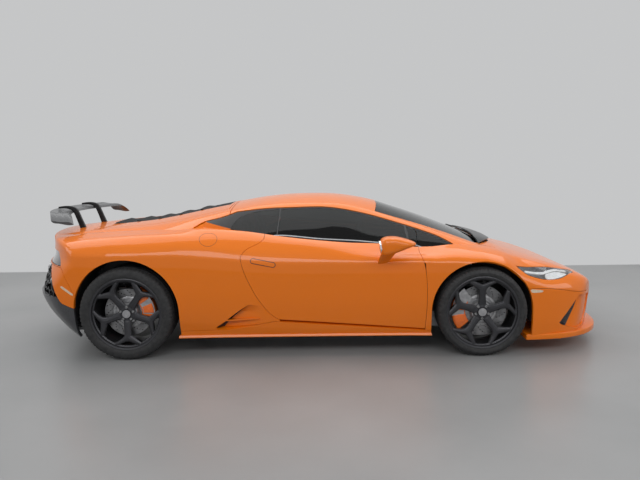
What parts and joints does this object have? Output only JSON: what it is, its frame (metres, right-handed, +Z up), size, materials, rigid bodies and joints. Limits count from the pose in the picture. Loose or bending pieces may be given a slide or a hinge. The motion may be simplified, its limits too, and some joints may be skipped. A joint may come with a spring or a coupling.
{
  "type": "mid-engined two-seat sports car",
  "caption": "Low wedge-shaped two-door sports car with opening doors, lids, steered front wheels and a rear wing.",
  "frame": {"origin": "on the floor, under the middle of the overall length and width", "axes": "+X forward, +Y to the car's left, +Z up"},
  "size_m": [4.5605, 2.2, 1.1678],
  "materials": {
    "paint": "glossy orange metallic lacquer",
    "black_trim": "satin black moulded plastic",
    "dark_gloss": "gloss dark grey composite",
    "glass": "tinted safety glass",
    "lens": "clear lamp lens",
    "red_lens": "dark red lamp lens",
    "rim": "satin graphite lacquer on alloy",
    "disc": "ground iron friction ring",
    "upright": "forged alloy, calipers lacquered orange",
    "tyre": "black tread rubber",
    "leather": "black leather",
    "cabin": "soft black cabin moulding",
    "alloy": "bare alloy structure",
    "engine": "cast alloy block",
    "steel": "brushed steel pipe"
  },
  "bodies": {
    "body": {"chassis": "alloy", "roof": "paint", "rear_quarters": "paint", "sills": "paint", "front_wings": "paint", "front_bumper": "paint", "windscreen": "glass", "fixed_glass": "glass", "cowl": "black_trim", "grilles": "black_trim", "headlamps": "lens", "rear_bumper": "paint", "rear_diffuser": "dark_gloss", "tail_lamps": "red_lens", "exhaust_tips": "steel", "rear_wing": "dark_gloss", "wheel_liners": "black_trim", "seats": "leather", "dashboard": "cabin", "engine_block": "engine", "wishbones": "alloy", "rear_uprights": "upright"},
    "door_left": {"door_left": "paint", "door_glass_left": "glass", "mirror_left": "paint"},
    "door_right": {"door_right": "paint", "door_glass_right": "glass", "mirror_right": "paint"},
    "bonnet": {"bonnet": "paint"},
    "engine_cover": {"engine_cover": "paint"},
    "upright_left": {"upright_left": "upright"},
    "upright_right": {"upright_right": "upright"},
    "steering_wheel": {"steering_wheel": "leather"},
    "wheel_front_left": {"tyre_front_left": "tyre", "rim_front_left": "rim", "disc_front_left": "disc"},
    "wheel_front_right": {"tyre_front_right": "tyre", "rim_front_right": "rim", "disc_front_right": "disc"},
    "wheel_rear_left": {"tyre_rear_left": "tyre", "rim_rear_left": "rim", "disc_rear_left": "disc"},
    "wheel_rear_right": {"tyre_rear_right": "tyre", "rim_rear_right": "rim", "disc_rear_right": "disc"}
  },
  "joints": [
    {"name": "door_left", "type": "hinge", "parent": "body", "child": "door_left", "pos_m": [0.85, 0.915, 0.45], "axis": [0, 0, -1], "range_deg": [0, 60]},
    {"name": "door_right", "type": "hinge", "parent": "body", "child": "door_right", "pos_m": [0.85, -0.915, 0.45], "axis": [0, 0, 1], "range_deg": [0, 60]},
    {"name": "bonnet", "type": "hinge", "parent": "body", "child": "bonnet", "pos_m": [1.242, 0, 0.808], "axis": [0, -1, 0], "range_deg": [0, 55]},
    {"name": "engine_cover", "type": "hinge", "parent": "body", "child": "engine_cover", "pos_m": [-0.676, 0, 1.112], "axis": [0, 1, 0], "range_deg": [0, 50]},
    {"name": "steer_left", "type": "hinge", "parent": "body", "child": "upright_left", "pos_m": [1.23, 0.8052, 0.3275], "axis": [0, 0, 1], "range_deg": [-32, 32]},
    {"name": "steer_right", "type": "hinge", "parent": "body", "child": "upright_right", "pos_m": [1.23, -0.8052, 0.3275], "axis": [0, 0, 1], "range_deg": [-32, 32]},
    {"name": "steering_wheel", "type": "hinge", "parent": "body", "child": "steering_wheel", "pos_m": [0.36, 0.37, 0.69], "axis": [-0.9627, 0, 0.2707], "range_deg": [-416, 416]},
    {"name": "wheel_front_left", "type": "hinge", "parent": "upright_left", "child": "wheel_front_left", "pos_m": [1.23, 0.834, 0.3275], "axis": [0, 1, 0], "continuous": true},
    {"name": "wheel_front_right", "type": "hinge", "parent": "upright_right", "child": "wheel_front_right", "pos_m": [1.23, -0.834, 0.3275], "axis": [0, 1, 0], "continuous": true},
    {"name": "wheel_rear_left", "type": "hinge", "parent": "body", "child": "wheel_rear_left", "pos_m": [-1.39, 0.81, 0.3455], "axis": [0, 1, 0], "continuous": true},
    {"name": "wheel_rear_right", "type": "hinge", "parent": "body", "child": "wheel_rear_right", "pos_m": [-1.39, -0.81, 0.3455], "axis": [0, 1, 0], "continuous": true}
  ],
  "couplings": [
    {"joint": "steer_right", "follows": "steer_left", "ratio": 1},
    {"joint": "steering_wheel", "follows": "steer_left", "ratio": 13}
  ]
}
